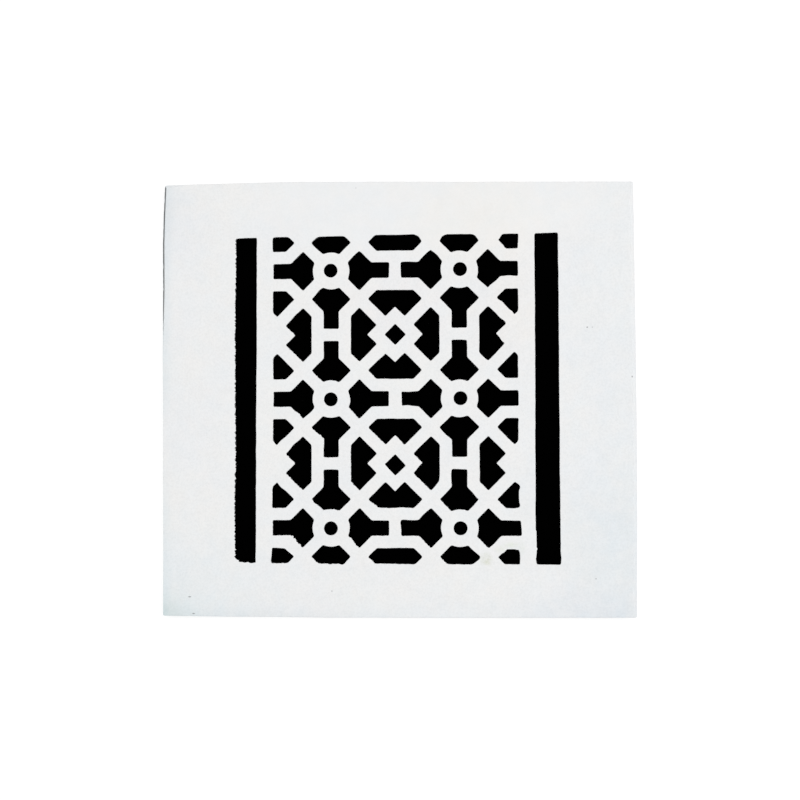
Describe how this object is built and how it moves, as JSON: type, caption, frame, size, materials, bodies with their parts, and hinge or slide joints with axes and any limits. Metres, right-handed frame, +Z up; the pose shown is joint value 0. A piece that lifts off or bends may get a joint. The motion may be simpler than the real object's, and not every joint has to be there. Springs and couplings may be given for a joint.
{
  "type": "floor vent grille",
  "caption": "Flat rectangular floor grille: a plain border round a pierced lattice of rings, diamonds and octagonal straps, with a long plain slot down each side.",
  "frame": {"origin": "middle of the plate's flat underside", "axes": "+Z up, out of the decorated face; +X across the slots, to the right in the picture; +Y along the slots, upwards in the picture"},
  "size_m": [0.2216, 0.2032, 0.0064],
  "materials": {
    "white_paint_on_iron": "satin white paint over sand-cast iron"
  },
  "bodies": {
    "root": {"floor_grille": "white_paint_on_iron"}
  },
  "joints": []
}
